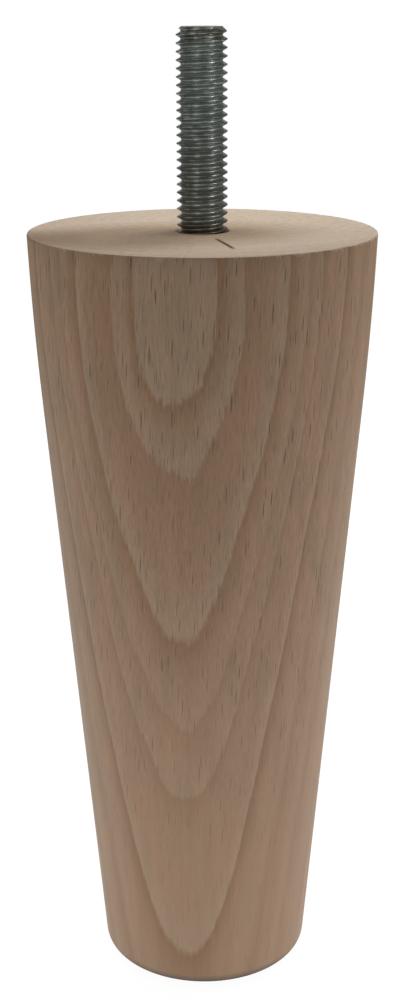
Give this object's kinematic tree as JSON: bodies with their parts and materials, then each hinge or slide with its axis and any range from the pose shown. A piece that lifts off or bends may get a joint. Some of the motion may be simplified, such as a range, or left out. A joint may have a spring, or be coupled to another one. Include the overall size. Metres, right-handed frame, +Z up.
{
  "type": "tapered furniture leg",
  "caption": "Round tapered furniture leg, turned from pale unfinished beech, with a rounded foot edge and a zinc-plated threaded stud in its top for screwing into the furniture.",
  "frame": {"origin": "centre of the foot's flat face, on the floor", "axes": "+Z up along the leg's axis, towards the stud; -Y is the side that the picture shows"},
  "size_m": [0.055, 0.055, 0.156],
  "materials": {
    "beech": "sanded, unfinished",
    "zinc_steel": "bright zinc plate"
  },
  "bodies": {
    "root": {"leg": "beech", "hanger_bolt": "zinc_steel"}
  },
  "joints": []
}
